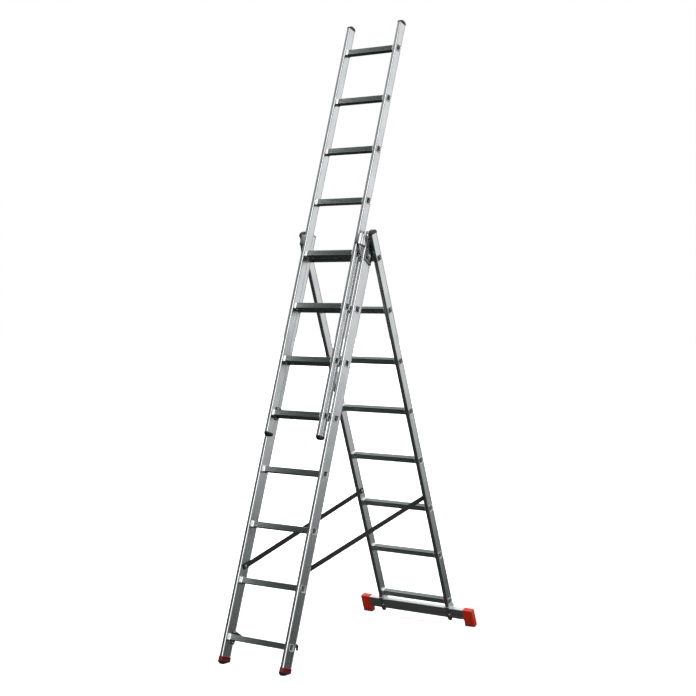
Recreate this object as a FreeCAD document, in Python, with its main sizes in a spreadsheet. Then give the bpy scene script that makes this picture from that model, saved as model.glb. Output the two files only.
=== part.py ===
"""Three-section combination ladder, stood as a stepladder with its top section raised.

Three sections of eight rungs each: a front (middle) section that is climbed, a rear section on a
stabiliser bar, hinged to the front section's top rung, and a narrower top section that runs up the
front section through two guides and hangs on it by two hooks.

Every section is drawn upright, in its own frame: X across, Y from the climbing side to the back, Z up
the stiles from the bottom rung's centre line. section_place() then leans it and stands it on the floor.
"""

import FreeCAD, Part
import math
import os

from FreeCAD import Placement, Rotation, Vector

doc = FreeCAD.newDocument("combination_ladder")

# ---------------------------------------------------------------- driving dimensions

SIZES = [
    # leans and heights
    ("front_lean", 18.3, "lean of the front section from upright, degrees"),
    ("rear_lean", 19.7, "lean of the rear section from upright, degrees"),
    ("foot_drop", 129.0, "bottom rung centre line to the floor, along the front stile"),
    ("rung_pitch", 280.0, "rung to rung"),
    ("hinge_gap", 50.5, "hinge axis to the rear section's middle plane"),
    ("hinge_rise", 26.0, "hinge axis above the rear section's top rung"),
    ("raised", 1120.0, "how far the top section is raised on the front section: four rungs"),
    ("top_offset", 49.0, "top section's middle plane in front of the front section's"),
    # stiles: half of the outside width, thickness across, depth front to back
    ("top_half", 173.0, "top section, half of its outside width"),
    ("front_half", 201.0, "front section, half of its outside width"),
    ("rear_half", 230.5, "rear section, half of its outside width"),
    ("top_thick", 21.0, "top stile across"),
    ("front_thick", 21.0, "front stile across"),
    ("rear_thick", 22.0, "rear stile across"),
    ("top_depth", 50.0, "top stile front to back"),
    ("front_depth", 66.0, "front stile front to back"),
    ("rear_depth", 50.0, "rear stile front to back"),
    ("foot_rise", 36.0, "how far a front foot's sole reaches below its stile"),
    ("top_low", 102.0, "top stile's cut end below its bottom rung"),
    ("front_low", 99.0, "front stile's cut end below its bottom rung"),
    ("rear_low", 36.0, "rear stile's cut end below its bottom rung"),
    ("top_high", 137.0, "top stile's cut end above its top rung"),
    ("front_high", 120.0, "front stile's cut end above its top rung"),
    ("rear_high", 128.0, "rear stile's cut end above its top rung"),
    ("stile_round", 5.0, "corner radius of a stile"),
    ("rim", 6.0, "width of the raised rims along a stile's sides"),
    ("recess", 1.0, "depth of the web below the rims"),
    ("web_wall", 1.4, "wall of a stile's web"),
    ("flange_wall", 2.0, "wall of a stile's front and back"),
    # rungs
    ("rung_deep", 30.0, "rung front to back"),
    ("rung_tall", 29.0, "rung top to bottom"),
    ("rung_wall", 1.8, "wall of a rung"),
    ("groove_deep", 0.7, "depth of a tread groove"),
    ("groove_wide", 2.4, "width of a tread groove"),
    ("groove_step", 7.0, "groove to groove"),
    ("collar_size", 36.0, "pressed collar round a rung's root"),
    ("collar_long", 5.0, "length of that collar"),
    ("bead_size", 35.0, "pressed bead round a rung's end"),
    ("bead_proud", 0.8, "how far the bead stands off the stile's rims"),
    # plates and hooks
    ("hook_plate", 4.0, "thickness of a hook plate"),
    ("hinge_plate", 3.0, "thickness of a hinge plate"),
    ("pivot_rad", 6.0, "radius of the hinge stud"),
    ("pivot_fit", 0.05, "radial clearance of the hinge stud in its plate"),
    ("rivet_rad", 4.0, "radius of a rivet's head"),
    # guides for the top section
    ("guide_low", 2002.0, "bottom of a guide above the front section's bottom rung"),
    ("guide_tall", 54.0, "height of a guide"),
    ("guide_gap", 1.0, "clearance round the top section's stile"),
    # stabiliser
    ("bar_half", 345.0, "half of the stabiliser tube's length"),
    ("bar_tall", 58.0, "stabiliser tube, up and down"),
    ("bar_deep", 30.0, "stabiliser tube, front to back"),
    ("bar_wall", 2.0, "wall of the stabiliser tube"),
    ("bar_top", 40.0, "top of the tube below the rear section's bottom rung"),
    ("cap_inner", 308.0, "inner edge of a stabiliser end cap"),
    ("cap_outer", 370.0, "outer edge of a stabiliser end cap"),
    ("cap_wall", 3.5, "wall of a stabiliser end cap"),
    ("saddle_wide", 30.0, "width of the saddle that holds the stile on the tube"),
    ("saddle_plate", 3.0, "thickness of the saddle"),
    # straps
    ("strap_wide", 25.0, "width of a spreader strap"),
    ("strap_thick", 1.8, "thickness of a spreader strap"),
    ("strap_front", 350.0, "strap bolt above the front section's bottom rung"),
    ("strap_rear", 624.0, "strap bolt above the rear section's bottom rung"),
    ("strap_tail", 14.0, "strap beyond each bolt"),
]

sheet = doc.addObject("Spreadsheet::Sheet", "dims")
for row, (alias, value, note) in enumerate(SIZES, start=1):
    sheet.set("A%d" % row, note)
    sheet.set("B%d" % row, "%g" % value)
    sheet.setAlias("B%d" % row, alias)
doc.recompute()


def dim(alias):
    """A driving dimension as a number, read back from the sheet."""
    return float(sheet.get(alias))


# ---------------------------------------------------------------- section frames

PITCH = dim("rung_pitch")
TOP_RUNG = 7 * PITCH
FRONT_TURN = Rotation(Vector(1, 0, 0), -dim("front_lean"))
REAR_TURN = Rotation(Vector(1, 0, 0), dim("rear_lean"))


def section_places():
    """Where each section's own frame stands, before the whole is centred over the floor."""
    lean = math.radians(dim("front_lean"))
    start = Vector(0, 0, dim("foot_drop") * math.cos(lean))
    front = Placement(start, FRONT_TURN)
    hinge = front.multVec(Vector(0, 0, TOP_RUNG))
    rear_start = hinge - REAR_TURN.multVec(Vector(0, -dim("hinge_gap"), TOP_RUNG + dim("hinge_rise")))
    rear = Placement(rear_start, REAR_TURN)
    top = Placement(front.multVec(Vector(0, -dim("top_offset"), dim("raised"))), FRONT_TURN)
    return front, rear, top, hinge


front_place, rear_place, top_place, hinge_point = section_places()


def floor_point(place, lean, across):
    """Where a line up the stiles, that far behind the middle plane, meets the floor."""
    down = -(place.Base.z + across * math.sin(lean)) / math.cos(lean)
    return place.multVec(Vector(0, across, down))


FOOT_ROUND = 14.0
lean = math.radians(dim("front_lean"))
foot_heel = front_place.multVec(Vector(0, -dim("front_depth") / 2 - 1 + FOOT_ROUND,
                                       FOOT_ROUND - dim("front_low") - dim("foot_rise")))
front_edge = min(foot_heel.y - FOOT_ROUND,
                 front_place.multVec(Vector(0, -dim("front_depth") / 2 - 1, -dim("front_low"))).y)
rear_edge = floor_point(rear_place, math.radians(dim("rear_lean")),
                        dim("bar_deep") / 2 + dim("cap_wall")).y
BACK = Vector(0, -(front_edge + rear_edge) / 2, 0)
for place in (front_place, rear_place, top_place):
    place.Base = place.Base + BACK
hinge_point = hinge_point + BACK
PLACES = {"top": top_place, "front": front_place, "rear": rear_place}

# ---------------------------------------------------------------- building helpers

nodes = []
spare_names = {}


def fresh(name):
    """A document name that is not used yet."""
    spare_names[name] = spare_names.get(name, 0) + 1
    return name if spare_names[name] == 1 else "%s_%d" % (name, spare_names[name])


def bind(thing, **formulas):
    """Tie properties of an object to the sheet; __ in a key stands for a dot."""
    for key, formula in formulas.items():
        thing.setExpression(key.replace("__", "."), str(formula))
    return thing


def block(name, length, width, height, left, front, low):
    """A box from its three sizes and its left, front, low corner."""
    box = doc.addObject("Part::Box", fresh(name))
    return bind(box, Length=length, Width=width, Height=height,
                Placement__Base__x=left, Placement__Base__y=front, Placement__Base__z=low)


def peg(name, radius, length, left, across, low):
    """A round peg that lies along X."""
    pin = doc.addObject("Part::Cylinder", fresh(name))
    pin.Placement = Placement(Vector(), Rotation(Vector(0, 1, 0), 90))
    return bind(pin, Radius=radius, Height=length,
                Placement__Base__x=left, Placement__Base__y=across, Placement__Base__z=low)


def joined(name, shapes):
    fused = doc.addObject("Part::MultiFuse", fresh(name))
    fused.Shapes = shapes
    return fused


def cut(name, base, tool):
    carved = doc.addObject("Part::Cut", fresh(name))
    carved.Base = base
    carved.Tool = tool
    return carved


def common(name, base, tool):
    kept = doc.addObject("Part::Common", fresh(name))
    kept.Base = base
    kept.Tool = tool
    return kept


def node(thing, label, section=None):
    """Name a finished piece and, when it was drawn in a section's frame, put it in its place."""
    thing.Label = label
    if section:
        thing.Placement = PLACES[section]
    nodes.append(thing)
    return thing


def mirrored(thing, label):
    """The left-hand twin of a finished right-hand piece."""
    twin = doc.addObject("Part::Mirroring", fresh("mirror"))
    twin.Source = thing
    twin.Base = Vector(0, 0, 0)
    twin.Normal = Vector(1, 0, 0)
    return node(twin, label)


def outline(sketch, points, prefix):
    """A closed outline whose corners are tied to the sheet, as (across, up) formulas."""
    values = [(float(doc.dims.evalExpression(a)) if isinstance(a, str) else float(a),
               float(doc.dims.evalExpression(b)) if isinstance(b, str) else float(b))
              for a, b in points]
    count = len(values)
    first = sketch.GeometryCount
    for i in range(count):
        start = Vector(values[i][0], values[i][1], 0)
        end = Vector(values[(i + 1) % count][0], values[(i + 1) % count][1], 0)
        sketch.addGeometry(Part.LineSegment(start, end), False)
    import Sketcher
    for i in range(count):
        sketch.addConstraint(Sketcher.Constraint("Coincident", first + i, 2,
                                                 first + (i + 1) % count, 1))
    for i in range(count):
        for kind, value, formula, tag in (("DistanceX", values[i][0], points[i][0], "x"),
                                          ("DistanceY", values[i][1], points[i][1], "y")):
            number = sketch.addConstraint(Sketcher.Constraint(kind, -1, 1, first + i, 1, value))
            if isinstance(formula, str):
                label = "%s%s%d" % (prefix, tag, i)
                sketch.renameConstraint(number, label)
                sketch.setExpression("Constraints." + label, formula)


def ring(sketch, across, up, radius):
    """A round hole in a sketch."""
    import Sketcher
    number = sketch.addGeometry(Part.Circle(Vector(across, up, 0), Vector(0, 0, 1), radius), False)
    sketch.addConstraint(Sketcher.Constraint("DistanceX", -1, 1, number, 3, across))
    sketch.addConstraint(Sketcher.Constraint("DistanceY", -1, 1, number, 3, up))
    sketch.addConstraint(Sketcher.Constraint("Radius", number, radius))


def plate(name, points, thick, plane="YZ_Plane", square_holes=(), round_holes=()):
    """A flat piece: an outline with holes, padded square to its plane. Returns its body."""
    body = doc.addObject("PartDesign::Body", fresh(name))
    sketch = body.newObject("Sketcher::SketchObject", fresh(name + "_sketch"))
    home = [f for f in body.Origin.OriginFeatures if f.Role == plane][0]
    sketch.AttachmentSupport = [(home, "")]
    sketch.MapMode = "FlatFace"
    outline(sketch, points, "p")
    for i, corners in enumerate(square_holes):
        outline(sketch, corners, "q%d" % i)
    for across, up, radius in round_holes:
        ring(sketch, across, up, radius)
    pad = body.newObject("PartDesign::Pad", fresh(name + "_pad"))
    pad.Profile = sketch
    bind(pad, Length=thick)
    body.Tip = pad
    return body


def at_x(body, label, section, formula):
    """Stand a plate drawn in a section's YZ plane at its place along X."""
    shift = float(doc.dims.evalExpression(formula))
    body.Label = label
    body.Placement = PLACES[section].multiply(Placement(Vector(shift, 0, 0), Rotation()))
    nodes.append(body)
    return body


# ---------------------------------------------------------------- stiles


def stile(section):
    """The right-hand stile: a box section with rims, bored hollow and pierced for its rungs."""
    half = "dims.%s_half" % section
    thick = "dims.%s_thick" % section
    depth = "dims.%s_depth" % section
    low = "dims.%s_low" % section
    length = "%s + 7 * dims.rung_pitch + dims.%s_high" % (low, section)
    body = block(section + "_bar", thick, depth, length,
                 "%s - %s" % (half, thick), "-%s / 2" % depth, "-" + low)
    doc.recompute()
    upright = [i + 1 for i, edge in enumerate(body.Shape.Edges)
               if abs(edge.tangentAt(edge.FirstParameter).z) > 0.99]
    rounded = doc.addObject("Part::Fillet", fresh(section + "_rounded"))
    rounded.Base = body
    rounded.Edges = [(i, dim("stile_round"), dim("stile_round")) for i in upright]
    web = "%s - 2 * dims.rim" % depth
    over = "%s + 20" % length
    under = "-%s - 10" % low
    cuts = [
        block("recess_out", "dims.recess + 1", web, over, "%s - dims.recess" % half,
              "dims.rim - %s / 2" % depth, under),
        block("recess_in", "dims.recess + 1", web, over, "%s - %s - 1" % (half, thick),
              "dims.rim - %s / 2" % depth, under),
        block("bore", "%s - 2 * (dims.recess + dims.web_wall)" % thick,
              "%s - 2 * dims.flange_wall" % depth, over,
              "%s - %s + dims.recess + dims.web_wall" % (half, thick),
              "dims.flange_wall - %s / 2" % depth, under),
    ]
    for step in range(8):
        cuts.append(block("rung_hole", "%s + 4" % thick, "dims.rung_deep", "dims.rung_tall",
                          "%s - %s - 2" % (half, thick), "-dims.rung_deep / 2",
                          "%d * dims.rung_pitch - dims.rung_tall / 2" % step))
    return cut(section + "_stile", rounded, joined("stile_cuts", cuts))


for section in ("top", "front", "rear"):
    right = node(stile(section), section + "_stile_right", section)
    mirrored(right, section + "_stile_left")

# ---------------------------------------------------------------- rungs

ACROSS_X = Rotation(Vector(1, 1, 1), 120)


def loose_sketch(name):
    """A sketch that stands in the YZ plane, for extrusions along X."""
    sketch = doc.addObject("Sketcher::SketchObject", fresh(name))
    sketch.Placement = Placement(Vector(), ACROSS_X)
    return sketch


def square(size_across, size_up):
    """Corner formulas of a rectangle about the origin."""
    a = "(%s) / 2" % size_across
    b = "(%s) / 2" % size_up
    return [("-" + a, "-" + b), (a, "-" + b), (a, b), ("-" + a, b)]


def tread_outline():
    """A rung's outside, anticlockwise from the bottom face, with three grooves in each face."""
    half_deep = "dims.rung_deep / 2"
    half_tall = "dims.rung_tall / 2"
    corners = []
    for turn in range(4):
        reach = half_tall if turn % 2 == 0 else half_deep
        width = half_deep if turn % 2 == 0 else half_tall
        run = [("-(%s - 1.5)" % width, "-(%s)" % reach)]
        for place in (-1, 0, 1):
            left = "%d * dims.groove_step - dims.groove_wide / 2" % place
            right = "%d * dims.groove_step + dims.groove_wide / 2" % place
            floor = "-(%s - dims.groove_deep)" % reach
            run += [(left, "-(%s)" % reach), (left, floor), (right, floor), (right, "-(%s)" % reach)]
        run.append(("%s - 1.5" % width, "-(%s)" % reach))
        for across, up in run:
            for _ in range(turn):
                across, up = "-(%s)" % up, across
            corners.append((across, up))
    return corners


rung_sketch = loose_sketch("rung_profile")
outline(rung_sketch, tread_outline(), "p")
outline(rung_sketch, square("dims.rung_deep - 2 * dims.rung_wall",
                            "dims.rung_tall - 2 * dims.rung_wall"), "q")
collar_sketch = loose_sketch("collar_profile")
outline(collar_sketch, square("dims.collar_size", "dims.collar_size"), "p")
outline(collar_sketch, square("dims.rung_deep - 2 * dims.rung_wall",
                              "dims.rung_tall - 2 * dims.rung_wall"), "q")
bead_sketch = loose_sketch("bead_profile")
outline(bead_sketch, square("dims.bead_size", "dims.bead_size"), "p")
outline(bead_sketch, square("dims.rung_deep - 2 * dims.rung_wall",
                            "dims.rung_tall - 2 * dims.rung_wall"), "q")


def drawn(name, sketch, length, start):
    """A sketch in the YZ plane, extruded along X from start."""
    run = doc.addObject("Part::Extrusion", fresh(name))
    run.Base = sketch
    run.DirMode = "Custom"
    run.Dir = Vector(1, 0, 0)
    run.Solid = True
    return bind(run, LengthFwd=length, Placement__Base__x=start)


def rung(section, step):
    """A tread tube through both stiles, with its pressed collars and end beads."""
    half = "dims.%s_half" % section
    inner = "(%s - dims.%s_thick + dims.recess)" % (half, section)
    bead = "dims.bead_proud + dims.recess"
    pieces = [
        drawn("tube", rung_sketch, "2 * %s" % half, "-" + half),
        drawn("collar", collar_sketch, "dims.collar_long", "%s - dims.collar_long" % inner),
        drawn("collar", collar_sketch, "dims.collar_long", "-" + inner),
        drawn("bead", bead_sketch, bead, "%s - dims.recess" % half),
        drawn("bead", bead_sketch, bead, "-%s - dims.bead_proud" % half),
    ]
    whole = joined(section + "_rung", pieces)
    lift = Placement(Vector(0, 0, step * PITCH), Rotation())
    whole.Label = "%s_rung_%d" % (section, step + 1)
    whole.Placement = PLACES[section].multiply(lift)
    nodes.append(whole)


for section in ("top", "front", "rear"):
    for step in range(8):
        rung(section, step)

# ---------------------------------------------------------------- stile caps and feet


def arched_cap(name, section, cut_at, rise, up, grow):
    """A plug for a stile's end: a tongue inside the tube and a low arch outside it.

    cut_at is the stile's cut end, rise the arch's height, up is 1 at a top and -1 at a bottom end,
    and grow is how far the arch stands off the stile's sides.
    """
    half = "dims.%s_half" % section
    thick = "dims.%s_thick" % section
    depth = "(dims.%s_depth + 2 * %g)" % (section, grow)
    bore_x = "%s - 2 * (dims.recess + dims.web_wall) - 0.4" % thick
    bore_y = "dims.%s_depth - 2 * dims.flange_wall - 0.4" % section
    tongue_low = "%s - 25" % cut_at if up > 0 else cut_at
    tongue = block(name + "_tongue", bore_x, bore_y, "25",
                   "%s - %s + dims.recess + dims.web_wall + 0.2" % (half, thick),
                   "-(%s) / 2" % bore_y, tongue_low)
    radius = "((%s) * (%s) / 4 + %g * %g) / (2 * %g)" % (depth, depth, rise, rise, rise)
    sign = "+" if up > 0 else "-"
    back = "-" if up > 0 else "+"
    drum = peg(name + "_drum", radius, "%s + 2 * %g" % (thick, grow),
               "%s - %s - %g" % (half, thick, grow), "0",
               "%s %s %g %s (%s)" % (cut_at, sign, rise, back, radius))
    slab = block(name + "_slab", "%s + 2 * %g" % (thick, grow), depth, "%g" % rise,
                 "%s - %s - %g" % (half, thick, grow), "-(%s) / 2" % depth,
                 cut_at if up > 0 else "%s - %g" % (cut_at, rise))
    return joined(name, [tongue, common(name + "_arch", drum, slab)])


def pair(thing, label, section):
    """Two like pieces, right and left, in one node."""
    twin = doc.addObject("Part::Mirroring", fresh("mirror"))
    twin.Source = thing
    twin.Base = Vector(0, 0, 0)
    twin.Normal = Vector(1, 0, 0)
    both = doc.addObject("Part::Compound", fresh(label))
    both.Links = [thing, twin]
    return node(both, label, section)


TOP_END = "(7 * dims.rung_pitch + dims.%s_high)"
pair(arched_cap("top_cap", "top", TOP_END % "top", 18, 1, 0.4), "top_upper_caps", "top")
pair(arched_cap("top_foot", "top", "(-dims.top_low)", 20, -1, 0.4), "top_lower_caps", "top")
pair(arched_cap("front_cap", "front", TOP_END % "front", 6, 1, 0.2), "front_upper_caps", "front")
pair(arched_cap("rear_cap", "rear", TOP_END % "rear", 21, 1, 0.6), "rear_upper_caps", "rear")


def front_foot():
    """A foot under a front stile: a collar round its end and a rounded sole, flat at the floor."""
    half = "dims.front_half"
    thick = "dims.front_thick"
    tongue = block("foot_tongue", "dims.front_thick - 2 * (dims.recess + dims.web_wall) - 0.4",
                   "dims.front_depth - 2 * dims.flange_wall - 0.4", "30",
                   "dims.front_half - dims.front_thick + dims.recess + dims.web_wall + 0.2",
                   "-(dims.front_depth - 2 * dims.flange_wall - 0.4) / 2", "-dims.front_low")
    sole = block("foot_sole", "%s + 3" % thick, "dims.front_depth + 2", "dims.foot_rise",
                 "%s - %s - 1.5" % (half, thick), "-(dims.front_depth + 2) / 2",
                 "-dims.front_low - dims.foot_rise")
    doc.recompute()
    corners = [(i + 1, FOOT_ROUND, FOOT_ROUND) for i, edge in enumerate(sole.Shape.Edges)
               if edge.CenterOfMass.z < -dim("front_low") - dim("foot_rise") + 0.01
               and abs(edge.tangentAt(edge.FirstParameter).x) > 0.99]
    soft = doc.addObject("Part::Fillet", fresh("foot_soft"))
    soft.Base = sole
    soft.Edges = corners
    return joined("foot_shape", [tongue, soft])


def trimmed_at_floor(shape, name):
    """Whatever lies below the floor is cut off, so the foot stands flat."""
    floor = doc.addObject("Part::Box", fresh("under_floor"))
    bind(floor, Length="1000", Width="3000", Height="200", Placement__Base__x="-500",
         Placement__Base__y="-1500", Placement__Base__z="-200")
    return cut(name, shape, floor)


foot = front_foot()
foot.Placement = PLACES["front"]
front_foot_right = node(trimmed_at_floor(foot, "front_foot"), "front_foot_right")
mirrored(front_foot_right, "front_foot_left")

# ---------------------------------------------------------------- hooks on the top and front sections


def hook(name, section, reach_out, slot_front, slot_back, ceiling, lip, nose):
    """A hook plate on a stile's inside, behind the bottom rung, that reaches back over another rung.

    reach_out is the tip's distance behind the section's middle plane, slot_front to slot_back the
    mouth that takes the other rung, ceiling the mouth's roof, lip the tip's lower end and nose the
    tip's upper corner.
    """
    grip = "dims.collar_size / 2 + 0.3"
    points = [("5", grip), (grip, grip), (grip, "-(%s)" % grip), ("10", "-(%s)" % grip), ("10", "-33"),
              ("%g" % (slot_front - 4), "-33"), ("%g" % slot_front, "-27"),
              ("%g" % slot_front, "%g" % ceiling), ("%g" % slot_back, "%g" % ceiling),
              ("%g" % slot_back, "%g" % lip), ("%g" % (reach_out - 3), "%g" % lip),
              ("%g" % reach_out, "%g" % (lip + 5)), ("%g" % reach_out, "%g" % nose),
              ("27", "33"), ("5", "33")]
    return plate(name, points, "dims.hook_plate")


TOP_HOOK_X = "dims.top_half - dims.top_thick - dims.hook_plate"
FRONT_HOOK_X = "dims.front_half - dims.front_thick - dims.hook_plate"
top_hook = hook("top_hook", "top", 76, 33, 65, 15, -8, 24)
top_hook_right = at_x(top_hook, "top_hook_right", "top", TOP_HOOK_X)
mirrored(top_hook_right, "top_hook_left")
front_hook = hook("front_hook", "front", 80, 35, 66.5, 4, -7, 19)
front_hook_right = at_x(front_hook, "front_hook_right", "front", FRONT_HOOK_X)
mirrored(front_hook_right, "front_hook_left")

# ---------------------------------------------------------------- hinge at the front section's top rung

# front hinge plate: on the outside of the front stile, round the top rung's bead
FRONT_PLATE = [
    ("-dims.front_depth / 2 + 1", "7 * dims.rung_pitch - 24"),
    ("dims.front_depth / 2", "7 * dims.rung_pitch - 43"),
    ("dims.front_depth / 2", "7 * dims.rung_pitch + 72"),
    ("dims.front_depth / 2 - 12", "7 * dims.rung_pitch + 90"),
    ("-dims.front_depth / 2 + 10", "7 * dims.rung_pitch + 90"),
    ("-dims.front_depth / 2 + 1", "7 * dims.rung_pitch + 80"),
]
bead_hole = [(a, "%s + 7 * dims.rung_pitch" % b)
             for a, b in square("dims.bead_size + 0.6", "dims.bead_size + 0.6")]
RIVETS_FRONT = [(-20.0, TOP_RUNG + 30), (-20.0, TOP_RUNG + 74), (16.0, TOP_RUNG + 74),
                (26.0, TOP_RUNG - 27)]
front_hinge = plate("front_hinge", FRONT_PLATE, "dims.hinge_plate", square_holes=(bead_hole,))
front_hinge_right = at_x(front_hinge, "front_hinge_right", "front", "dims.front_half")
mirrored(front_hinge_right, "front_hinge_left")


def lobe(centre, radius, start, end, steps):
    """Corner formulas round part of a circle, angles in degrees from the back (+Y) upwards."""
    corners = []
    for i in range(steps + 1):
        turn = math.radians(start + (end - start) * i / steps)
        corners.append(("%s + %.4f" % (centre[0], radius * math.cos(turn)),
                        "%s + %.4f" % (centre[1], radius * math.sin(turn))))
    return corners


# rear hinge plate: on the inside of the rear stile, with a round ear on the hinge stud
PIVOT = ("-dims.hinge_gap", "7 * dims.rung_pitch + dims.hinge_rise")
EAR = lobe(PIVOT, 16.0, 150.0, 290.0, 10)
REAR_PLATE = EAR + [
    ("-22", "7 * dims.rung_pitch + 21"),
    ("dims.rear_depth / 2 - 6", "7 * dims.rung_pitch + 21"),
    ("dims.rear_depth / 2 - 6", "7 * dims.rung_pitch + 98"),
    ("dims.rear_depth / 2 - 14", "7 * dims.rung_pitch + 106"),
    ("-dims.rear_depth / 2 + 4", "7 * dims.rung_pitch + 106"),
    ("-dims.rear_depth / 2 - 4", "7 * dims.rung_pitch + 96"),
]
rear_hinge = plate("rear_hinge", REAR_PLATE, "dims.hinge_plate",
                   round_holes=((-dim("hinge_gap"), TOP_RUNG + dim("hinge_rise"),
                                 dim("pivot_rad") + dim("pivot_fit")),))
rear_hinge_right = at_x(rear_hinge, "rear_hinge_right", "rear",
                        "dims.rear_half - dims.rear_thick - dims.hinge_plate")
mirrored(rear_hinge_right, "rear_hinge_left")

# hinge stud: a square insert in the top rung's end, a shank through the ear and a low head
TOP_RUNG_Z = "7 * dims.rung_pitch"
insert = block("pivot_insert", "26", "dims.rung_deep - 2 * dims.rung_wall - 0.4",
               "dims.rung_tall - 2 * dims.rung_wall - 0.4", "dims.front_half - 26",
               "-(dims.rung_deep - 2 * dims.rung_wall - 0.4) / 2",
               TOP_RUNG_Z + " - (dims.rung_tall - 2 * dims.rung_wall - 0.4) / 2")
shank = peg("pivot_shank", "dims.pivot_rad", "12", "dims.front_half - 2", "0", TOP_RUNG_Z)
head = peg("pivot_head", "10.5", "4.5",
           "dims.rear_half - dims.rear_thick + 0.3", "0", TOP_RUNG_Z)
pair(joined("pivot", [insert, shank, head]), "hinge_studs", "front")

# ---------------------------------------------------------------- guides for the top section


def guide():
    """A grooved guide on the front stile, open to the inside, that the top stile runs in."""
    wall = "(dims.top_half + dims.guide_gap)"
    face = "(-dims.top_offset - dims.top_depth / 2 - dims.guide_gap)"
    seat = "(-dims.front_depth / 2)"
    points = [
        (wall, seat), (wall, face), ("dims.top_half - 12", face),
        ("dims.top_half - 12", face + " - 3"), (wall + " + 12", face + " - 3"),
        (wall + " + 18", face), (wall + " + 20", face + " + 6"),
        (wall + " + 16.5", face + " + 7.5"), (wall + " + 16.5", face + " + 11"),
        (wall + " + 21.5", face + " + 12.5"), (wall + " + 22.5", face + " + 19"),
        (wall + " + 18.5", face + " + 20.5"), (wall + " + 18.5", face + " + 24"),
        (wall + " + 23.5", face + " + 25.5"), (wall + " + 24.5", face + " + 31"),
        ("dims.front_half - 1", seat),
    ]
    channel = plate("guide", points, "dims.guide_tall", plane="XY_Plane")
    channel.Placement = Placement(Vector(0, 0, dim("guide_low")), Rotation())
    return channel


def gusset():
    """The web under a guide, tapering down to the stile's front."""
    face = "(-dims.top_offset - dims.top_depth / 2 - dims.guide_gap)"
    web = plate("gusset", [("-dims.front_depth / 2", "dims.guide_low - 58"),
                           ("-dims.front_depth / 2", "dims.guide_low + 1"),
                           (face, "dims.guide_low + 1"), (face + " + 4", "dims.guide_low - 8"),
                           ("-dims.front_depth / 2 - 12", "dims.guide_low - 50")], "5")
    web.Placement = Placement(Vector(dim("top_half") + 9, 0, 0), Rotation())
    return web


guide_right = node(joined("guide_whole", [guide(), gusset()]), "guide_right", "front")
mirrored(guide_right, "guide_left")

# ---------------------------------------------------------------- stabiliser


def tube(name, length, depth, height, left, front, low, wall):
    outer = block(name + "_outer", length, depth, height, left, front, low)
    inner = block(name + "_inner", "%s + 4" % length, "%s - 2 * %s" % (depth, wall),
                  "%s - 2 * %s" % (height, wall), "%s - 2" % left, "%s + %s" % (front, wall),
                  "%s + %s" % (low, wall))
    return cut(name, outer, inner)


BAR_LOW = "(-dims.bar_top - dims.bar_tall)"
node(tube("stabiliser", "2 * dims.bar_half", "dims.bar_deep", "dims.bar_tall", "-dims.bar_half",
          "-dims.bar_deep / 2", BAR_LOW, "dims.bar_wall"), "stabiliser_bar", "rear")


def end_cap():
    """A cap over the tube's end, carried down to a foot that is cut level with the floor."""
    outer = block("cap_outer_box", "dims.cap_outer - dims.cap_inner",
                  "dims.bar_deep + 2 * dims.cap_wall", "dims.bar_tall + dims.cap_wall + 60",
                  "dims.cap_inner", "-dims.bar_deep / 2 - dims.cap_wall", BAR_LOW + " - 60")
    doc.recompute()
    edges = []
    for i, edge in enumerate(outer.Shape.Edges):
        mid = edge.CenterOfMass
        if mid.x > dim("cap_outer") - 1 and mid.z > -dim("bar_top") - dim("bar_tall") - 59:
            edges.append((i + 1, 4.0, 4.0))
    soft = doc.addObject("Part::Fillet", fresh("cap_soft"))
    soft.Base = outer
    soft.Edges = edges
    socket = block("cap_socket", "dims.bar_half - dims.cap_inner + 1", "dims.bar_deep + 0.1",
                   "dims.bar_tall + 0.1", "dims.cap_inner - 0.5", "-(dims.bar_deep + 0.1) / 2",
                   BAR_LOW + " - 0.05")
    return cut("cap_shape", soft, socket)


cap = end_cap()
cap.Placement = PLACES["rear"]
cap_right = node(trimmed_at_floor(cap, "end_cap"), "stabiliser_cap_right")
mirrored(cap_right, "stabiliser_cap_left")


def saddle():
    """A saddle under a rear stile: a tongue up the stile, a seat and two ears over the tube."""
    centre = "(dims.rear_half - dims.rear_thick / 2)"
    left = "%s - dims.saddle_wide / 2" % centre
    seat = block("seat", "dims.saddle_wide", "dims.rear_depth", "dims.bar_top - dims.rear_low",
                 left, "-dims.rear_depth / 2", "-dims.bar_top")
    tongue = block("saddle_tongue", "dims.rear_thick - 2 * (dims.recess + dims.web_wall) - 0.4",
                   "dims.rear_depth - 2 * dims.flange_wall - 0.4", "dims.rear_low - 20",
                   "dims.rear_half - dims.rear_thick + dims.recess + dims.web_wall + 0.2",
                   "-(dims.rear_depth - 2 * dims.flange_wall - 0.4) / 2", "-dims.rear_low")
    ears = []
    for front in ("-dims.bar_deep / 2 - dims.saddle_plate", "dims.bar_deep / 2"):
        slab = block("ear", "dims.saddle_wide", "dims.saddle_plate", "dims.bar_tall",
                     left, front, "-dims.bar_top - dims.bar_tall")
        disc = doc.addObject("Part::Cylinder", fresh("ear_round"))
        disc.Placement = Placement(Vector(), Rotation(Vector(1, 0, 0), -90))
        bind(disc, Radius="dims.saddle_wide / 2", Height="dims.saddle_plate",
             Placement__Base__x=centre, Placement__Base__y=front,
             Placement__Base__z="-dims.bar_top - dims.bar_tall")
        ears += [slab, disc]
    return joined("saddle", [seat, tongue] + ears)


pair(saddle(), "stabiliser_saddles", "rear")

# ---------------------------------------------------------------- spreader straps


STRAP_OFF = 2.6


def strap_ends():
    """The middles of the right strap's two bolts, on the inside of the front and rear stiles."""
    ahead = PLACES["front"].multVec(Vector(dim("front_half") - dim("front_thick") - STRAP_OFF, 0,
                                           dim("strap_front")))
    behind = PLACES["rear"].multVec(Vector(dim("rear_half") - dim("rear_thick") - STRAP_OFF, 0,
                                           dim("strap_rear")))
    return ahead, behind


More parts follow.
